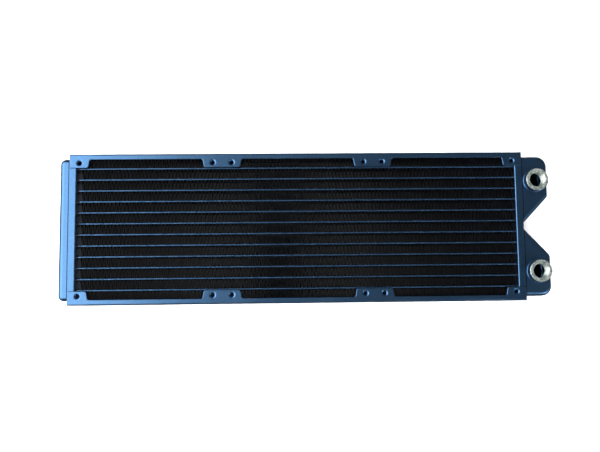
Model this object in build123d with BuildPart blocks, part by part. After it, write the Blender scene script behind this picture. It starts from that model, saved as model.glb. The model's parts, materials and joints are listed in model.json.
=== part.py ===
from build123d import *
import math
import os

# Slim three-fan liquid cooling radiator.  Units are millimetres.
# Frame: the origin is the centre of the middle fan's hole pattern on the rear face,
# +X runs along the radiator towards the ports, +Z points out of the port face.

# Fan pattern
fan_count = 3
fan_pitch = 120.0
fan_hole_pitch = 105.0
fan_hole_radius = 1.25
front_lead_in_radius = 1.6
rear_lead_in_radius = 0.4
hole_collar_radius = 2.3
hole_collar_drop = 1.5

# Side rails
thickness = 20.5
rail_length = 361.2
rail_outer_y = 59.7
rail_flange_edge_y = 55.2
rail_sheet = 1.0
rail_bend_inside = 0.5
tab_edge_y = 48.5
tab_half_width = 14.4
tab_side_slope = 1.2
tab_root_radius = 1.4
tab_corner_radius = 2.1
tab_root_lead = 2.0
tab_end_rounding = 0.8
front_edge_rounding = 0.6
rear_edge_rounding = 0.3

# Core: flat tubes, folded fins and side plates
tube_count = 12
tube_pitch = 8.74
tube_width = 16.0
tube_thickness = 1.6
tube_wall = 0.25
tube_reach = 1.0
fin_start_x = -172.8
fin_end_x = 174.4
fin_wave_count = 120
fin_width = 15.0
fin_foil = 0.14
fin_crest_half = 0.3
side_plate_sheet = 0.5

# Header plates
header_x = 174.8
header_end_x = 180.7
header_sheet = 0.8
header_bend_radius = 1.0
header_corner_radius = 2.2

# Tanks
tank_start_x = 177.0
tank_half_y = 56.2
tank_wall = 1.0
return_tank_x = 188.4
return_tank_corner = 4.2
return_tank_edge = 3.5
port_tank_x = 201.9
port_tank_corner = 8.0
port_tank_shoulder_y = 23.5
port_tank_shoulder_radius = 4.0
port_tank_edge = 3.2
notch_x = 181.2
notch_half_y = 1.9
divider_sheet = 1.2

# Port bushes, G1/4
port_x = 191.2
port_y = 36.4
port_top_z = 25.5
port_outer_radius = 8.9
port_bore_radius = 5.72
port_bore_length = 9.0
port_spigot_radius = 7.9
port_mouth_radius = 6.7
port_rim_chamfer = 0.4

# Worked out from the above
mid_z = thickness / 2
fan_centres = [fan_pitch * (i - (fan_count - 1) / 2) for i in range(fan_count)]
tab_centres = [fan_pitch * (i - fan_count / 2) for i in range(fan_count + 1)]
hole_reach = fan_hole_pitch / 2
hole_xs = [centre + side * hole_reach for centre in fan_centres for side in (-1, 1)]
tube_ys = [tube_pitch * (i - (tube_count - 1) / 2) for i in range(tube_count)]
fin_row_ys = [tube_pitch * (i - tube_count / 2) for i in range(tube_count + 1)]
fin_height = tube_pitch - tube_thickness
side_plate_y = fin_row_ys[-1] + fin_height / 2
header_half_y = tank_half_y + header_sheet
header_height = thickness - 2 * rail_sheet
tank_height = header_height - 2 * header_sheet
tank_rear_z = rail_sheet + header_sheet
tank_front_z = thickness - tank_rear_z
port_bottom_z = port_top_z - port_bore_length

os.makedirs("parts", exist_ok=True)


def save(piece, name):
    """Label a finished piece and write it under that name."""
    piece.part.label = name
    export_step(piece.part, f"parts/{name}.step", write_pcurves=False)


def end_plane(side, distance):
    """A plane across the radiator's length, facing out of the end on that side."""
    return Plane(origin=(side * distance, 0, 0), x_dir=(0, side, 0), z_dir=(side, 0, 0))


def outward(side):
    return Axis((0, 0, 0), (side, 0, 0))


def plunged_hole_cutter(lead_in_radius):
    """The rounded lead-in and the bore of one plunged fan hole, mouth at z = 0."""
    depth = rail_sheet + hole_collar_drop
    with BuildPart() as cutter:
        with BuildSketch(Plane.XZ):
            with BuildLine():
                mouth = (fan_hole_radius + lead_in_radius, 0)
                throat = (fan_hole_radius, -lead_in_radius)
                Polyline(throat, (fan_hole_radius, -depth), (0, -depth), (0, 0), mouth)
                RadiusArc(mouth, throat, -lead_in_radius)
            make_face()
        revolve(axis=Axis.Z)
    return cutter.part


def tab_corners(centre):
    """Corners of one mounting tab, from its root on the flange out and back."""
    root_half = tab_half_width + tab_side_slope
    half_outline = [
        (root_half + tab_root_lead, rail_flange_edge_y),
        (root_half, rail_flange_edge_y),
        (tab_half_width, tab_edge_y),
    ]
    left = [(centre - x, y) for x, y in half_outline]
    right = [(centre + x, y) for x, y in half_outline]
    return left + right[::-1]


def side_rail(name, side):
    """C-channel with its web outside and tapped tabs on the front and rear faces."""
    front_cutter = plunged_hole_cutter(front_lead_in_radius)
    rear_cutter = mirror(plunged_hole_cutter(rear_lead_in_radius), about=Plane.XY)
    with BuildPart() as rail:
        web_y = rail_outer_y - rail_sheet
        front_z = thickness - rail_sheet
        with BuildSketch(Plane.YZ.offset(-rail_length / 2)) as channel:
            with BuildLine():
                Polyline(
                    (rail_flange_edge_y, 0),
                    (rail_outer_y, 0),
                    (rail_outer_y, thickness),
                    (rail_flange_edge_y, thickness),
                    (rail_flange_edge_y, front_z),
                    (web_y, front_z),
                    (web_y, rail_sheet),
                    (rail_flange_edge_y, rail_sheet),
                    close=True,
                )
            make_face()
            fillet(channel.vertices().group_by(Axis.X)[1], rail_bend_inside)
            fillet(channel.vertices().group_by(Axis.X)[-1], rail_bend_inside + rail_sheet)
        extrude(amount=rail_length)
        tab_radii = [tab_root_radius, tab_corner_radius, tab_corner_radius, tab_root_radius]
        for face_z in (0, front_z):
            with BuildSketch(Plane.XY.offset(face_z)):
                for centre in tab_centres:
                    corners = tab_corners(centre)
                    with BuildLine():
                        FilletPolyline(*corners, radius=tab_radii)
                        web_corners = [(corners[end][0], web_y) for end in (-1, 0)]
                        Polyline(corners[-1], *web_corners, corners[0])
                    make_face()
                Rectangle(rail_length, 2 * rail_outer_y, mode=Mode.INTERSECT)
            extrude(amount=rail_sheet)
        end_corners = [
            edge
            for edge in rail.edges().filter_by(Axis.Z)
            if abs(edge.center().X) > tab_centres[-1] and edge.center().Y < rail_flange_edge_y
        ]
        fillet(end_corners, tab_end_rounding)
        for pick, rounding in ((-1, front_edge_rounding), (0, rear_edge_rounding)):
            face = rail.faces().filter_by(Axis.Z).sort_by(Axis.Z)[pick]
            open_edges = [edge for edge in face.edges() if edge.center().Y < web_y - rail_sheet]
            fillet(open_edges, rounding)
        with Locations(*[(x, hole_reach, front_z) for x in hole_xs]):
            Cylinder(hole_collar_radius, hole_collar_drop, align=(Align.CENTER, Align.CENTER, Align.MAX))
        with Locations(*[(x, hole_reach, rail_sheet) for x in hole_xs]):
            Cylinder(hole_collar_radius, hole_collar_drop, align=(Align.CENTER, Align.CENTER, Align.MIN))
        with Locations(*[(x, hole_reach, thickness) for x in hole_xs]):
            add(front_cutter, mode=Mode.SUBTRACT)
        with Locations(*[(x, hole_reach, 0) for x in hole_xs]):
            add(rear_cutter, mode=Mode.SUBTRACT)
        if side < 0:
            mirror(about=Plane.XZ, mode=Mode.REPLACE)
    save(rail, name)


def flat_tube(name, y):
    """Hollow flat-oval tube that runs through both header plates."""
    half_length = header_x + header_sheet + tube_reach
    with BuildPart() as tube:
        with BuildSketch(Plane.YZ.offset(-half_length)):
            with Locations((y, mid_z)):
                SlotOverall(tube_width, tube_thickness, rotation=90)
                SlotOverall(
                    tube_width - 2 * tube_wall,
                    tube_thickness - 2 * tube_wall,
                    rotation=90,
                    mode=Mode.SUBTRACT,
                )
        extrude(amount=2 * half_length)
    save(tube, name)


def fin_outline(y):
    """Closed outline of one folded foil: its far edge there, its near edge back."""
    half_wave = (fin_end_x - fin_start_x) / (2 * fin_wave_count)
    fold_y = (fin_height - fin_foil) / 2
    leg_angle = math.atan2(2 * fold_y, half_wave - 2 * fin_crest_half)
    mitre = fin_foil / 2 * math.tan(leg_angle / 2)
    far_edge = []
    near_edge = []
    for fold in range(2 * fin_wave_count):
        centre = fin_start_x + half_wave * (fold + 0.5)
        crest = 1 if fold % 2 == 0 else -1
        for step in (-1, 1):
            far_x = centre + step * (fin_crest_half + crest * mitre)
            near_x = centre + step * (fin_crest_half - crest * mitre)
            far_edge.append((far_x, y + crest * fold_y + fin_foil / 2))
            near_edge.append((near_x, y + crest * fold_y - fin_foil / 2))
    return far_edge + near_edge[::-1]


def fin_row(name, y):
    """Foil folded back and forth between two neighbouring tubes."""
    with BuildPart() as fin:
        with BuildSketch(Plane.XY.offset(mid_z - fin_width / 2)):
            with BuildLine():
                Polyline(*fin_outline(y), close=True)
            make_face()
        extrude(amount=fin_width)
    save(fin, name)


def core_side_plate(name, side):
    """Thin strip that backs the outermost fin row."""
    with BuildPart() as plate:
        with BuildSketch(Plane.YZ.offset(-header_x)):
            with Locations((side * (side_plate_y + side_plate_sheet / 2), mid_z)):
                Rectangle(side_plate_sheet, tube_width)
        extrude(amount=2 * header_x)
    save(plate, name)


def header_plate(name, side):
    """Shallow pan: its base holds the tube ends, its rim takes the tank."""
    with BuildPart() as header:
        with BuildSketch(end_plane(side, header_x)):
            with Locations((0, mid_z)):
                RectangleRounded(2 * header_half_y, header_height, header_corner_radius)
        extrude(amount=header_end_x - header_x)
        base = header.faces().sort_by(outward(side))[0]
        fillet(base.edges(), header_bend_radius)
        rim = header.faces().sort_by(outward(side))[-1]
        offset(amount=-header_sheet, openings=rim)
        with BuildSketch(end_plane(side, header_x)):
            with Locations(*[(y, mid_z) for y in tube_ys]):
                SlotOverall(tube_width, tube_thickness, rotation=90)
        extrude(amount=header_sheet, mode=Mode.SUBTRACT)
    save(header, name)


def return_tank():
    """Plain tank that turns the coolant round at the far end."""
    with BuildPart() as tank:
        with BuildSketch(Plane.XY.offset(tank_rear_z)) as outline:
            with Locations((-(tank_start_x + return_tank_x) / 2, 0)):
                Rectangle(return_tank_x - tank_start_x, 2 * tank_half_y)
            fillet(outline.vertices().group_by(Axis.X)[0], return_tank_corner)
        extrude(amount=tank_height)
        flats = tank.faces().filter_by(Axis.Z)
        rims = [edge for edge in flats.edges() if edge.center().X < -tank_start_x - tank_wall]
        fillet(rims, return_tank_edge)
        mouth = tank.faces().sort_by(Axis.X)[-1]
        offset(amount=-tank_wall, openings=mouth)
    save(tank, "return_tank")


def port_tank_block(inset):
    """The notched tank's solid envelope, or with an inset the space inside its walls."""
    skirt_x = tank_start_x - inset
    with BuildPart() as block:
        with BuildSketch(Plane.XY.offset(tank_rear_z + inset)) as outline:
            with BuildLine():
                Polyline(
                    (skirt_x, tank_half_y),
                    (port_tank_x, tank_half_y),
                    (port_tank_x, port_tank_shoulder_y),
                    (notch_x, notch_half_y),
                    (notch_x, -notch_half_y),
                    (port_tank_x, -port_tank_shoulder_y),
                    (port_tank_x, -tank_half_y),
                    (skirt_x, -tank_half_y),
                    close=True,
                )
            make_face()
            outer_side = outline.vertices().group_by(Axis.X)[-1].sort_by(Axis.Y)
            fillet([outer_side[0], outer_side[-1]], port_tank_corner)
            shoulders = outline.vertices().filter_by(
                lambda v: v.X > port_x and abs(v.Y) < port_tank_shoulder_y + port_tank_edge
            )
            fillet(shoulders, port_tank_shoulder_radius)
            if inset > 0:
                offset(amount=-inset, kind=Kind.INTERSECTION, mode=Mode.REPLACE)
        extrude(amount=tank_height - 2 * inset)
        flats = block.faces().filter_by(Axis.Z)
        rims = [edge for edge in flats.edges() if edge.center().X > tank_start_x]
        fillet(rims, port_tank_edge - inset)
    return block.part


def port_tank():
    """Tank with a V notch between its inlet and outlet lobes."""
    envelope = port_tank_block(0)
    cavity = port_tank_block(tank_wall)
    with BuildPart() as tank:
        add(envelope)
        add(cavity, mode=Mode.SUBTRACT)
        with BuildSketch(Plane.XY.offset(tank_front_z)):
            with Locations((port_x, port_y), (port_x, -port_y)):
                Circle(port_spigot_radius)
        extrude(amount=port_bottom_z - tank_front_z, mode=Mode.SUBTRACT)
    save(tank, "port_tank")


def tank_divider():
    """Small plate across the notch that keeps the inlet and outlet sides apart."""
    start_x = header_x + header_sheet
    end_x = notch_x - tank_wall
    with BuildPart() as divider:
        with BuildSketch(Plane.XZ.offset(-divider_sheet / 2)) as outline:
            with Locations(((start_x + end_x) / 2, mid_z)):
                Rectangle(end_x - start_x, tank_height - 2 * tank_wall)
            fillet(outline.vertices().group_by(Axis.X)[-1], port_tank_edge - tank_wall)
        extrude(amount=divider_sheet)
    save(divider, "tank_divider")


def port_bush(name, side):
    """Turned bush with a parallel thread bore and a chamfered mouth."""
    mouth_drop = port_mouth_radius - port_bore_radius
    with BuildPart() as bush:
        with BuildSketch(Plane((port_x, side * port_y, 0), x_dir=(1, 0, 0), z_dir=(0, -1, 0))):
            with BuildLine():
                Polyline(
                    (port_bore_radius, port_bottom_z),
                    (port_spigot_radius, port_bottom_z),
                    (port_spigot_radius, tank_front_z),
                    (port_outer_radius, tank_front_z),
                    (port_outer_radius, port_top_z - port_rim_chamfer),
                    (port_outer_radius - port_rim_chamfer, port_top_z),
                    (port_mouth_radius, port_top_z),
                    (port_bore_radius, port_top_z - mouth_drop),
                    close=True,
                )
            make_face()
        revolve(axis=Axis((port_x, side * port_y, 0), (0, 0, 1)))
    save(bush, name)


for rail_name, rail_side in (("side_rail_upper", 1), ("side_rail_lower", -1)):
    side_rail(rail_name, rail_side)
for tube_index, tube_y in enumerate(tube_ys, start=1):
    flat_tube(f"flat_tube_{tube_index:02d}", tube_y)
for row_index, row_y in enumerate(fin_row_ys, start=1):
    fin_row(f"fin_row_{row_index:02d}", row_y)
for plate_name, plate_side in (("core_side_plate_upper", 1), ("core_side_plate_lower", -1)):
    core_side_plate(plate_name, plate_side)
for header_name, header_side in (("header_plate_return", -1), ("header_plate_port", 1)):
    header_plate(header_name, header_side)
return_tank()
port_tank()
tank_divider()
for bush_name, bush_side in (("port_bush_upper", 1), ("port_bush_lower", -1)):
    port_bush(bush_name, bush_side)
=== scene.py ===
import json
import math
import random

import bmesh
import bpy
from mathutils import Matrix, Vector, noise


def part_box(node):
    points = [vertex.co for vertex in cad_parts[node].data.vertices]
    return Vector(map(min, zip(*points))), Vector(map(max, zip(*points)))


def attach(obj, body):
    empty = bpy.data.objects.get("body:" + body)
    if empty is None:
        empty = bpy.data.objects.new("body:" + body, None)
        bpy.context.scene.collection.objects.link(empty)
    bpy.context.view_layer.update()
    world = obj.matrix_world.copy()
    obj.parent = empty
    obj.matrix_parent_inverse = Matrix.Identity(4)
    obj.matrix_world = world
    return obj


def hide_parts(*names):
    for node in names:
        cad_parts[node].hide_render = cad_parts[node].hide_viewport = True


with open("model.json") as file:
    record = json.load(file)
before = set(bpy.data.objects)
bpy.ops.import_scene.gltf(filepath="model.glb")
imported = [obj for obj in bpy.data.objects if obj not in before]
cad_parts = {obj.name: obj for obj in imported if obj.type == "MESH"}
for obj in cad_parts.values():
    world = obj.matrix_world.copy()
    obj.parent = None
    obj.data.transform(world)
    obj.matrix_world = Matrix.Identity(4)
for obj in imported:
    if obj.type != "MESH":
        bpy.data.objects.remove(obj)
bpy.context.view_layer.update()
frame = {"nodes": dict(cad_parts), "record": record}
mm = 0.001
print("frame loaded:", len(frame["nodes"]), "pieces")


class Wire:
    # a socket that can be used in sums, so 1 - mask adds its own Math node
    def __init__(self, shade, socket):
        self.shade = shade
        self.socket = socket

    def math(self, operation, *values):
        return self.shade.add("ShaderNodeMath", {"operation": operation}, dict(enumerate(values)))

    def __add__(self, other):
        return self.math("ADD", self, other)

    def __radd__(self, other):
        return self.math("ADD", other, self)

    def __sub__(self, other):
        return self.math("SUBTRACT", self, other)

    def __rsub__(self, other):
        return self.math("SUBTRACT", other, self)

    def __mul__(self, other):
        return self.math("MULTIPLY", self, other)

    def __rmul__(self, other):
        return self.math("MULTIPLY", other, self)

    def __pow__(self, other):
        return self.math("POWER", self, other)

    def __abs__(self):
        return self.math("ABSOLUTE", self)

    def ramp(self, low, high):
        # 0 at low, 1 at high, smooth between
        settings = {"interpolation_type": "SMOOTHSTEP"}
        inputs = {"Value": self, "From Min": low, "From Max": high}
        return self.shade.add("ShaderNodeMapRange", settings, inputs)

    def out(self, name):
        return Wire(self.shade, self.socket.node.outputs[name])


class Shade:
    def __init__(self, name):
        self.material = bpy.data.materials.new(name)
        self.material.use_nodes = True
        self.tree = self.material.node_tree
        self.tree.nodes.clear()
        self.output = self.tree.nodes.new("ShaderNodeOutputMaterial")

    def add(self, kind, settings=None, inputs=None):
        made = self.tree.nodes.new(kind)
        for key, value in (settings or {}).items():
            setattr(made, key, value)
        for key, value in (inputs or {}).items():
            if isinstance(value, Wire):
                self.tree.links.new(value.socket, made.inputs[key])
            else:
                made.inputs[key].default_value = value
        return Wire(self, next(s for s in made.outputs if s.enabled))

    def place(self):
        # where a point is on the object, in metres
        return self.add("ShaderNodeTexCoord").out("Object")

    def split(self, vector):
        parts = self.add("ShaderNodeSeparateXYZ", None, {0: vector})
        return parts.out("X"), parts.out("Y"), parts.out("Z")

    def stretch(self, vector, scale):
        return self.add("ShaderNodeMapping", None, {"Vector": vector, "Scale": scale})

    def noise(self, vector, size, detail=3.0, rough=0.5):
        inputs = {"Vector": vector, "Scale": 1 / size, "Detail": detail, "Roughness": rough}
        return self.add("ShaderNodeTexNoise", None, inputs)

    def mixColour(self, factor, first, second):
        return self.add("ShaderNodeMix", {"data_type": "RGBA"}, {0: factor, 6: first, 7: second})

    def bump(self, height, distance, under=None):
        inputs = {"Height": height, "Distance": distance}
        if under:
            inputs["Normal"] = under
        return self.add("ShaderNodeBump", None, inputs)

    def surface(self, **inputs):
        named = {key.replace("_", " "): value for key, value in inputs.items()}
        return self.add("ShaderNodeBsdfPrincipled", None, named)

    def finish(self, shader):
        self.tree.links.new(shader.socket, self.output.inputs["Surface"])
        return self.material


def rgb(red, green, blue):
    return (red, green, blue, 1.0)


# sizes read from the frame
railLow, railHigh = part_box("side_rail_upper")
bushLow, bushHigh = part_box("port_bush_upper")
tankLow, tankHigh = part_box("port_tank")
tubeCount = 12
tubeBoxes = [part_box(f"flat_tube_{i:02d}") for i in range(1, tubeCount + 1)]
rowBoxes = [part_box(f"fin_row_{i:02d}") for i in range(1, tubeCount + 2)]
headerFaces = [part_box("header_plate_return")[1].x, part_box("header_plate_port")[0].x]
railFaceZ = railHigh.z
tabEdgeY = railLow.y  # the tabs' inner edge
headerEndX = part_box("header_plate_port")[1].x
bushX, bushY = (bushLow.x + bushHigh.x) / 2, (bushLow.y + bushHigh.y) / 2
bushRadius = (bushHigh.x - bushLow.x) / 2

paintLook = {
    "tint": rgb(0.070, 0.160, 0.308),
    "tintThin": rgb(0.090, 0.200, 0.372),
    "dust": rgb(0.30, 0.33, 0.36),
    "dustAmount": 0.05,
    "dustRange": (0.70, 0.78),
    "roughness": 0.33,
    "cloudSize": 30 * mm,
    "cloudRange": (0.35, 0.70),
    "cloudShare": 0.35,
    "cloudRoughness": 0.06,
    "peelSize": 2.2 * mm,
    "peelDepth": 0.02 * mm,
    "grainSize": 0.45 * mm,
    "grainDepth": 0.008 * mm,
    "grainRoughness": 0.10,
    "flakeSize": 1.1 * mm,
    "flakeRange": (0.32, 0.68),
    "dustSize": 0.9 * mm,
    # colour and extra roughness of the painted shade in seams and recesses
    "shadeTint": rgb(0.004, 0.007, 0.013),
    "shadeRoughness": 0.25,
}


def bluePaint(name, look, shadeMask=None):
    # satin metallic coat: slow clouds, flakes, orange peel, fine grain and a few specks of dust
    s = Shade(name)
    place = s.place()
    cloud = s.noise(place, look["cloudSize"], 2.0)
    grain = s.noise(place, look["grainSize"], 2.0)
    flake = s.noise(place, look["flakeSize"], 2.0, 0.7)
    peel = s.noise(place, look["peelSize"], 1.0)
    speck = s.noise(place, look["dustSize"], 1.0).ramp(*look["dustRange"]) * look["dustAmount"]
    blotch = look["cloudShare"] * cloud.ramp(*look["cloudRange"])
    blotch = blotch + (1 - look["cloudShare"]) * flake.ramp(*look["flakeRange"])
    tint = s.mixColour(blotch, look["tint"], look["tintThin"])
    tint = s.mixColour(speck, tint, look["dust"])
    rough = look["roughness"] + look["cloudRoughness"] * (cloud - 0.5)
    rough = rough + look["grainRoughness"] * (grain - 0.5) + speck
    if shadeMask:
        # painted shade: where the mask is set, the coat turns near black and duller
        thinCoatAndShade = shadeMask(s, *s.split(place))
        tint = s.mixColour(thinCoatAndShade, tint, look["shadeTint"])
        rough = rough + look["shadeRoughness"] * thinCoatAndShade
    relief = s.bump(grain, look["grainDepth"], s.bump(peel, look["peelDepth"]))
    return s.finish(s.surface(Base_Color=tint, Metallic=1.0, Roughness=rough, Normal=relief))


# where and how far the painted shade reaches in the tank and the core
shadeLook = {
    "edge": 0.12 * mm,
    "seamWidth": 0.80 * mm,
    "seamShare": 0.85,
    "boreReach": 8.6 * mm,
    "tankSkin": 0.5 * mm,
    "noseDepth": 0.20 * mm,
    "noseMottle": 0.9 * mm,
    "noseStretch": (1.0, 0.3, 0.3),
    "rootFade": 0.3 * mm,
    "headerFade": 0.35 * mm,
    "tabGap": 1.1 * mm,
}


def tankShade(s, x, y, z):
    # painted shade along the seam beside each header, and inside the tank below the ports
    soft = shadeLook["edge"]
    away = abs(x) - headerEndX
    seam = away.ramp(-soft, soft) * (1 - (away - shadeLook["seamWidth"]).ramp(-soft, soft))
    east, north = x - bushX, abs(y) - bushY
    reach = (east * east + north * north) ** 0.5
    under = 1 - (reach - shadeLook["boreReach"]).ramp(-soft, soft)
    skin = shadeLook["tankSkin"]
    inside = (z - tankLow.z - skin).ramp(0, soft) * (1 - (z - tankHigh.z + skin).ramp(0, soft))
    return shadeLook["seamShare"] * seam + under * inside


def coreShade(s, x, y, z):
    # painted shade on the tube flanks behind the nose and on the return header's inner face, and
    # painted shadow on the strips beside the tabs
    soft = shadeLook["edge"]
    tubeLow, tubeHigh = tubeBoxes[0]
    depth = abs(z - (tubeLow.z + tubeHigh.z) / 2) - (tubeHigh.z - tubeLow.z) / 2
    nose = (depth + shadeLook["noseDepth"]).ramp(-soft, soft)
    mottle = s.noise(s.stretch(s.place(), shadeLook["noseStretch"]), shadeLook["noseMottle"], 1.0)
    patchy = 1 - 0.5 * mottle.ramp(0.4, 0.6)
    headerDepth = abs(x) + headerFaces[0]
    onTube = 1 - headerDepth.ramp(-shadeLook["rootFade"], 0)
    leftFace = (1 - (headerFaces[0] - x).ramp(0, shadeLook["headerFade"])) * (1 - x.ramp(0, mm))
    tab = (abs(y) - (tabEdgeY - shadeLook["tabGap"])).ramp(-soft, soft) * (1 - onTube)
    return onTube * (1 - nose * patchy) + leftFace * (1 - onTube) + tab


finLook = {
    "depthShade": rgb(0.0008, 0.0009, 0.0013),
    "colour": rgb(0.0034, 0.0038, 0.0056),
    "thinCoatAndShade": rgb(0.010, 0.011, 0.015),
    "reach": 3.0 * mm,
    "roughness": 0.40,
    "metallic": 0.2,
    "ior": 1.4,
    "grainSize": 0.7 * mm,
    "grainDepth": 0.012 * mm,
    "grainRoughness": 0.2,
    "patchSize": 6 * mm,
    "patchStretch": (0.4, 1.0, 1.0),
    "patchRange": (0.45, 0.75),
}


def finPaint(name, look):
    # thin black coat, with painted shade: darker in the depth of the core
    s = Shade(name)
    place = s.place()
    low, high = rowBoxes[0]
    depth = abs(s.split(place)[2] - (low.z + high.z) / 2) - (high.z - low.z) / 2
    near = (depth + look["reach"]).ramp(0, look["reach"])
    grain = s.noise(place, look["grainSize"], 3.0)
    patch = s.noise(s.stretch(place, look["patchStretch"]), look["patchSize"], 2.0)
    tint = s.mixColour(patch.ramp(*look["patchRange"]) * grain, look["colour"], look["thinCoatAndShade"])
    # painted shade: the coat goes darker deep inside the core
    tint = s.mixColour(near, look["depthShade"], tint)
    rough = look["roughness"] + look["grainRoughness"] * (grain - 0.5)
    relief = s.bump(grain, look["grainDepth"])
    shader = s.surface(Base_Color=tint, Metallic=look["metallic"], Roughness=rough, Normal=relief,
                       IOR=look["ior"])
    return s.finish(shader)


nickelLook = {
    "bright": rgb(0.64, 0.71, 0.67),
    "dull": rgb(0.24, 0.29, 0.27),
    "stain": rgb(0.10, 0.12, 0.12),
    "metallic": 0.88,
    "roughness": 0.36,
    "mottleSize": 1.3 * mm,
    "mottleRange": (0.38, 0.62),
    "mottleDepth": 0.03 * mm,
    "mottleRoughness": 0.25,
    "fleckSize": 0.55 * mm,
    "stainRange": (0.60, 0.72),
    "stainShare": 0.6,
    "ringPitch": 0.22 * mm,
    "ringDepth": 0.006 * mm,
    "ringRoughness": 0.1,
    # the bush wall's paint: the tank's blue coat scaled darker, real paint with painted shade in it
    "paint": rgb(0.018, 0.042, 0.085),
    "paintEdge": 0.35 * mm,
    "paintRagged": 0.25 * mm,
    "paintFade": 0.08 * mm,
    "wallDepth": 0.22 * mm,
    "wallFade": 0.05 * mm,
    "oversprayReach": 6 * mm,
    "oversprayFlecks": (0.62, 0.68),
    "oversprayMottle": (0.50, 0.60),
    "oversprayShare": 0.8,
}


def bushNickel(name, look):
    # dull nickel with turning rings, mottled by use, and painted on its outer wall
    s = Shade(name)
    place = s.place()
    x, y, z = s.split(place)
    east, north = x - bushX, abs(y) - bushY
    radius = (east * east + north * north) ** 0.5
    mottle = s.noise(place, look["mottleSize"], 4.0, 0.6)
    fleck = s.noise(place, look["fleckSize"], 2.0)
    rings = s.noise(s.add("ShaderNodeCombineXYZ", None, {0: radius, 1: z}), look["ringPitch"], 1.0)
    ragged = look["paintEdge"] + look["paintRagged"] * (mottle - 0.5)
    below = 1 - (z - (bushHigh.z - ragged)).ramp(-look["paintFade"], look["paintFade"])
    wall = bushRadius - look["wallDepth"]
    outside = (radius - wall).ramp(-look["wallFade"], look["wallFade"])
    overspray = fleck.ramp(*look["oversprayFlecks"]) * mottle.ramp(*look["oversprayMottle"])
    overspray = overspray * (x - bushX).ramp(0, look["oversprayReach"])
    painted = (below * outside + overspray * look["oversprayShare"]).ramp(0.2, 0.8)
    metal = s.mixColour(mottle.ramp(*look["mottleRange"]), look["dull"], look["bright"])
    stained = s.mixColour(fleck.ramp(*look["stainRange"]) * look["stainShare"], metal, look["stain"])
    tint = s.mixColour(painted, stained, look["paint"])
    rough = look["roughness"] + look["mottleRoughness"] * (mottle - 0.5)
    rough = rough + look["ringRoughness"] * (rings - 0.5)
    relief = s.bump(mottle, look["mottleDepth"], s.bump(rings, look["ringDepth"]))
    shader = s.surface(Base_Color=tint, Metallic=look["metallic"], Roughness=rough, Normal=relief)
    return s.finish(shader)


brassLook = {
    "colour": rgb(0.55, 0.40, 0.18),
    "dull": rgb(0.32, 0.22, 0.11),
    "roughness": 0.38,
    "tarnishSize": 2 * mm,
    "tarnishRange": (0.4, 0.7),
    "tarnishRoughness": 0.2,
}


def rolledBrass(name, look):
    s = Shade(name)
    tarnish = s.noise(s.place(), look["tarnishSize"], 4.0)
    tint = s.mixColour(tarnish.ramp(*look["tarnishRange"]), look["colour"], look["dull"])
    rough = look["roughness"] + look["tarnishRoughness"] * (tarnish - 0.5)
    return s.finish(s.surface(Base_Color=tint, Metallic=1.0, Roughness=rough))


finishes = {
    "rail_paint": bluePaint("railPaint", paintLook),
    "tank_paint": bluePaint("tankPaint", paintLook, tankShade),
    "core_paint": bluePaint("corePaint", dict(paintLook, roughness=0.40), coreShade),
    "fin_paint": finPaint("finPaint", finLook),
    "port_nickel": bushNickel("portNickel", nickelLook),
    "divider_brass": rolledBrass("dividerBrass", brassLook),
}
slotOf = {part["node"]: part["material_slot"] for part in frame["record"]["subparts"]}
for node, piece in frame["nodes"].items():
    piece.data.materials.clear()
    piece.data.materials.append(finishes[slotOf[node]])
print("finishes on", len(slotOf), "pieces")


mergeDistance = 0.0005 * mm


def newPiece(name, points, faces, slot, sharpAngle=40):
    # a closed mesh in the object's frame: doubled points merged, hard edges kept hard
    mesh = bpy.data.meshes.new(name)
    mesh.from_pydata(points, [], faces)
    shape = bmesh.new()
    shape.from_mesh(mesh)
    bmesh.ops.remove_doubles(shape, verts=shape.verts, dist=mergeDistance)
    bmesh.ops.recalc_face_normals(shape, faces=shape.faces)
    for face in shape.faces:
        face.smooth = True
    for edge in shape.edges:
        edge.smooth = edge.calc_face_angle(math.pi) < math.radians(sharpAngle)
    shape.to_mesh(mesh)
    shape.free()
    mesh.materials.append(finishes[slot])
    piece = bpy.data.objects.new(name, mesh)
    bpy.context.scene.collection.objects.link(piece)
    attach(piece, "root")
    return piece


def loopFaces(columns, rows, closedColumns=True):
    # quads between neighbouring columns, each column a closed loop of rows
    faces = []
    for column in range(columns if closedColumns else columns - 1):
        for row in range(rows):
            here = column * rows
            there = (column + 1) % columns * rows
            above = (row + 1) % rows
            faces.append((here + row, here + above, there + above, there + row))
    return faces


# G1/4 parallel thread, cut right through each bush
bushLook = {
    "pitch": 1.337 * mm,
    "minor": 5.72 * mm,
    "major": 6.50 * mm,
    "mouth": 6.70 * mm,
    "spigot": 7.90 * mm,
    "rim": 0.40 * mm,
    "columns": 96,
    "rowsPerTurn": 8,
    "crest": 0.15,
}


def threadRadius(look, z, angle):
    turns = (z - bushLow.z) / look["pitch"] - angle / math.tau
    cut = 1 - abs(2 * (turns % 1) - 1)
    cut = min(max((cut - look["crest"]) / (1 - 2 * look["crest"]), 0), 1)
    thread = look["minor"] + (look["major"] - look["minor"]) * cut
    return max(thread, look["mouth"] - (bushHigh.z - z))


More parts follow.
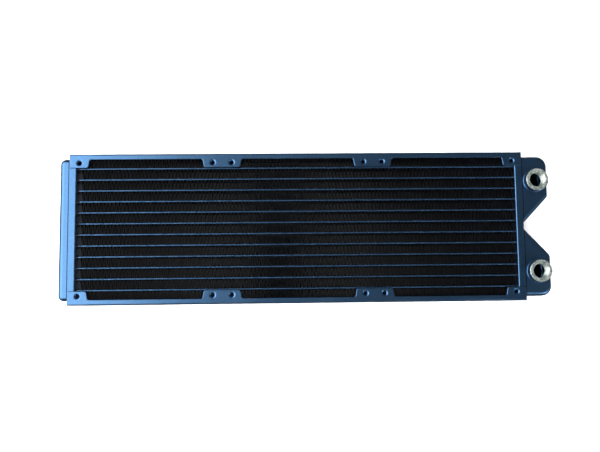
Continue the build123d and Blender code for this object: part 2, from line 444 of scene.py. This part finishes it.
def makeBush(name, side, look):
    rowsPerTurn = look["rowsPerTurn"]
    turnCount = (bushHigh.z - bushLow.z) / look["pitch"] + 1
    threadRows = math.ceil(turnCount * rowsPerTurn) + 1
    outer = [
        (look["spigot"], bushLow.z),
        (look["spigot"], tankHigh.z),
        (bushRadius, tankHigh.z),
        (bushRadius, bushHigh.z - look["rim"]),
        (bushRadius - look["rim"], bushHigh.z),
    ]
    points = []
    faces = []
    rows = len(outer) + threadRows
    for column in range(look["columns"]):
        angle = math.tau * column / look["columns"]
        section = list(outer)
        for row in reversed(range(threadRows)):
            z = bushLow.z + look["pitch"] * (row / rowsPerTurn + angle / math.tau - 1)
            z = min(max(z, bushLow.z), bushHigh.z)
            section.append((threadRadius(look, z, angle), z))
        for radius, z in section:
            x = bushX + radius * math.cos(angle)
            points.append((x, side * bushY + radius * math.sin(angle), z))
    for column in range(look["columns"]):
        last = column == look["columns"] - 1
        for row in range(rows):
            above = (row + 1) % rows
            ends = [row, above]
            far = list(ends)
            if last:
                # one full turn further on, the helix is one pitch higher
                far = [max(r - rowsPerTurn, len(outer)) if r >= len(outer) else r for r in ends]
            here, there = column * rows, (column + 1) % look["columns"] * rows
            faces.append((here + ends[0], here + ends[1], there + far[1], there + far[0]))
    piece = newPiece(name, points, faces, "port_nickel")
    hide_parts("port_bush_upper" if side > 0 else "port_bush_lower")


beadLook = {
    "radius": 0.75 * mm,
    "sink": 0.30 * mm,
    "waver": 0.10,
    "waverRate": 3,
    "columns": 96,
    "rows": 14,
}


def makeBead(name, side, look):
    # braze run around the foot of a bush, its size wavering a little
    points = []
    for column in range(look["columns"]):
        angle = math.tau * column / look["columns"]
        spot = Vector((math.cos(angle), math.sin(angle), side))
        size = look["radius"] * (1 + look["waver"] * noise.noise(spot * look["waverRate"]))
        for row in range(look["rows"]):
            turn = math.tau * row / look["rows"]
            radius = bushRadius + size * math.cos(turn)
            x = bushX + radius * math.cos(angle)
            y = side * bushY + radius * math.sin(angle)
            points.append((x, y, tankHigh.z - look["sink"] + size * math.sin(turn)))
    newPiece(name, points, loopFaces(look["columns"], look["rows"]), "tank_paint")


for label, side in (("upper", 1), ("lower", -1)):
    makeBush(f"threaded_bush_{label}", side, bushLook)
    makeBead(f"bush_braze_{label}", side, beadLook)
print("threaded bushes and their braze runs made")


finShape = {
    "waves": 120,
    "foil": 0.15 * mm,
    "crestRadius": 0.34 * mm,
    "crestSteps": 4,
    "crestSpan": 0.94,
    "wander": 0.16 * mm,
    "lean": 0.10 * mm,
    "leanLength": 9 * mm,
}


def foilPath(low, high, look, dice):
    # middle line of one folded foil, as points and left-hand normals
    halfWave = (high.x - low.x) / (2 * look["waves"])
    reach = (high.y - low.y - look["foil"]) / 2
    middle = (low.y + high.y) / 2
    folds = []
    for fold in range(2 * look["waves"]):
        x = low.x + halfWave * (fold + 0.5) + dice.uniform(-1, 1) * look["wander"]
        folds.append((x, 1 if fold % 2 == 0 else -1))
    path = []
    for x, crest in folds:
        centreY = middle + crest * (reach - look["crestRadius"])
        for step in range(look["crestSteps"] + 1):
            turn = math.pi * (step / look["crestSteps"] - 0.5) * look["crestSpan"]
            along, up = math.sin(turn), crest * math.cos(turn)
            point = (x + look["crestRadius"] * along, centreY + look["crestRadius"] * up)
            path.append((point, (along * crest, up * crest)))
    return path


def makeFinRow(index, look):
    low, high = rowBoxes[index - 1]
    dice = random.Random(index)
    path = foilPath(low, high, look, dice)
    half = look["foil"] / 2
    points = []
    for (x, y), (nx, ny) in path:
        tilt = look["lean"] * noise.noise(Vector((x / look["leanLength"], index, 0)))
        for side, z in ((1, high.z), (1, low.z), (-1, low.z), (-1, high.z)):
            shift = tilt if z == high.z else 0
            points.append((x + side * half * nx + shift, y + side * half * ny, z))
    faces = loopFaces(len(path), 4, closedColumns=False)
    faces.append((3, 2, 1, 0))
    end = len(points) - 4
    faces.append((end, end + 1, end + 2, end + 3))
    piece = newPiece(f"folded_fin_{index:02d}", points, faces, "fin_paint", sharpAngle=60)
    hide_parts(f"fin_row_{index:02d}")


for index in range(1, len(rowBoxes) + 1):
    makeFinRow(index, finShape)
print("folded fins made")


rootLook = {
    "spread": 0.9 * mm,
    "rise": 2.0 * mm,
    "risePort": 0.7 * mm,
    "sink": 0.05 * mm,
    "waist": 0.35,
    "steps": 8,
}


def makeTubeRoots(name, faceX, inward, look):
    # braze fillets where the tubes enter a header plate, in the fins' near-black finish so the tube
    # ends show dark; on the return side they reach further along the tubes
    points = []
    faces = []
    for low, high in tubeBoxes:
        radius = (high.y - low.y) / 2
        middleY = (low.y + high.y) / 2
        outline = []
        for endZ, half in ((high.z - radius, 0), (low.z + radius, 1)):
            for step in range(look["steps"] + 1):
                turn = math.pi * (half + step / look["steps"])
                outline.append((middleY, endZ, math.cos(turn), math.sin(turn)))
        first = len(points)
        section = [
            (-look["sink"], -look["sink"]),
            (look["spread"], -look["sink"]),
            (look["spread"] * look["waist"], look["rise"] * look["waist"]),
            (-look["sink"], look["rise"]),
        ]
        for y, z, ny, nz in outline:
            for away, along in section:
                grow = radius + away
                points.append((faceX + inward * along, y + grow * ny, z + grow * nz))
        ring = loopFaces(len(outline), len(section))
        faces += [tuple(first + corner for corner in face) for face in ring]
    newPiece(name, points, faces, "fin_paint", sharpAngle=60)


makeTubeRoots("tube_roots_return", headerFaces[0], 1, rootLook)
makeTubeRoots("tube_roots_port", headerFaces[1], -1, dict(rootLook, rise=rootLook["risePort"]))
print("tube roots made")


cameraLook = {
    "place": Vector((-15.1, -51.2, 551.3)) * mm,
    "turn": [math.radians(angle) for angle in (5.4318, -1.6540, -0.6577)],
    "lens": 42.0,
    "sensor": 36.0,
    "near": 0.01,
}


def makeCamera(look):
    data = bpy.data.cameras.new("camera")
    data.lens = look["lens"]
    data.sensor_width = look["sensor"]
    data.clip_start = look["near"]
    camera = bpy.data.objects.new("camera", data)
    camera.location = look["place"] + Vector((0, 0, railFaceZ))
    camera.rotation_euler = look["turn"]
    bpy.context.scene.collection.objects.link(camera)
    bpy.context.scene.camera = camera


# glossy says whether the light shows in the paint, or only lights the paper
washLook = {"size": (1.5, 1.5), "power": 85.0, "glossy": False}
lightLooks = {
    "windowLeft": {"place": (-1.08, 0.0, 1.04), "size": (2.1, 1.66), "power": 44.0, "glossy": True},
    "lowRight": {"place": (0.95, -0.78, 0.86), "size": (0.45, 0.45), "power": 5.0, "glossy": True},
    "washRight": dict(washLook, place=(2.2, 0.0, 1.6)),
    "washLeft": dict(washLook, place=(-2.2, 0.0, 1.6)),
    "washBack": dict(washLook, place=(0.0, 2.2, 1.6)),
    "washFront": dict(washLook, place=(0.0, -2.2, 1.6)),
}


def makeLight(name, look):
    data = bpy.data.lights.new(name, "AREA")
    data.shape = "RECTANGLE"
    data.size, data.size_y = look["size"]
    data.energy = look["power"]
    light = bpy.data.objects.new(name, data)
    light.location = look["place"]
    light.rotation_mode = "QUATERNION"
    light.rotation_quaternion = (-Vector(look["place"])).to_track_quat("-Z", "Y")
    light.visible_camera = False
    light.visible_glossy = look["glossy"]
    bpy.context.scene.collection.objects.link(light)


# brightness of the room, and how high up each one is: 0 straight down, 1 straight up
worldLook = {
    "below": 0.11,
    "belowEnd": 0.48,
    "horizon": 0.24,
    "horizonHeight": 0.56,
    "overhead": 0.115,
    "overheadStart": 0.80,
}


def makeWorld(look):
    world = bpy.data.worlds.new("studioWorld")
    bpy.context.scene.world = world
    world.use_nodes = True
    tree = world.node_tree
    coord = tree.nodes.new("ShaderNodeTexCoord")
    split = tree.nodes.new("ShaderNodeSeparateXYZ")
    curve = tree.nodes.new("ShaderNodeFloatCurve")
    tree.links.new(coord.outputs["Generated"], split.inputs[0])
    spread = tree.nodes.new("ShaderNodeMapRange")
    spread.inputs["From Min"].default_value = -1.0
    tree.links.new(split.outputs["Z"], spread.inputs["Value"])
    tree.links.new(spread.outputs[0], curve.inputs["Value"])
    stops = curve.mapping.curves[0].points
    stops[0].location = (0.0, look["below"])
    stops[1].location = (1.0, look["overhead"])
    stops.new(look["belowEnd"], look["below"])
    stops.new(look["horizonHeight"], look["horizon"])
    stops.new(look["overheadStart"], look["overhead"])
    curve.mapping.update()
    tree.links.new(curve.outputs[0], tree.nodes["Background"].inputs["Strength"])
    tree.nodes["Background"].inputs["Color"].default_value = rgb(1, 1, 1)


floorLook = {
    "half": 6.0,
    "colour": rgb(0.84, 0.84, 0.84),
    "fleck": rgb(0.90, 0.90, 0.90),
    "fleckSize": 12 * mm,
    "roughness": 0.9,
}


def makeFloor(look):
    half = look["half"]
    mesh = bpy.data.meshes.new("floor")
    corners = [(-half, -half, 0), (half, -half, 0), (half, half, 0), (-half, half, 0)]
    mesh.from_pydata(corners, [], [(0, 1, 2, 3)])
    floor = bpy.data.objects.new("floor", mesh)
    floor.visible_glossy = False
    bpy.context.scene.collection.objects.link(floor)
    s = Shade("floorPaper")
    fleck = s.noise(s.place(), look["fleckSize"], 4.0)
    tint = s.mixColour(fleck, look["colour"], look["fleck"])
    mesh.materials.append(s.finish(s.surface(Base_Color=tint, Roughness=look["roughness"])))


backdropLook = {
    "radius": 9.0,
    "segments": 48,
    "rings": 24,
    "glow": 1.0,
    "shade": rgb(0.98, 0.98, 0.98),
    "paper": rgb(1, 1, 1),
    "fleckSize": 0.4,
}


def makeBackdrop(look):
    # white paper all round, seen behind the object and nothing else
    shape = bmesh.new()
    grid = {"u_segments": look["segments"], "v_segments": look["rings"]}
    bmesh.ops.create_uvsphere(shape, radius=look["radius"], **grid)
    mesh = bpy.data.meshes.new("backdrop")
    shape.to_mesh(mesh)
    shape.free()
    backdrop = bpy.data.objects.new("backdrop", mesh)
    for ray in ("diffuse", "glossy", "transmission", "shadow"):
        setattr(backdrop, "visible_" + ray, False)
    bpy.context.scene.collection.objects.link(backdrop)
    s = Shade("backdropPaper")
    fleck = s.noise(s.place(), look["fleckSize"], 2.0)
    paper = s.mixColour(fleck, look["shade"], look["paper"])
    black = rgb(0, 0, 0)
    shader = s.surface(Base_Color=black, Emission_Color=paper, Emission_Strength=look["glow"])
    mesh.materials.append(s.finish(shader))


makeCamera(cameraLook)
for name, look in lightLooks.items():
    makeLight(name, look)
makeWorld(worldLook)
makeFloor(floorLook)
makeBackdrop(backdropLook)
bpy.context.scene.view_settings.view_transform = "Standard"
print("studio ready")
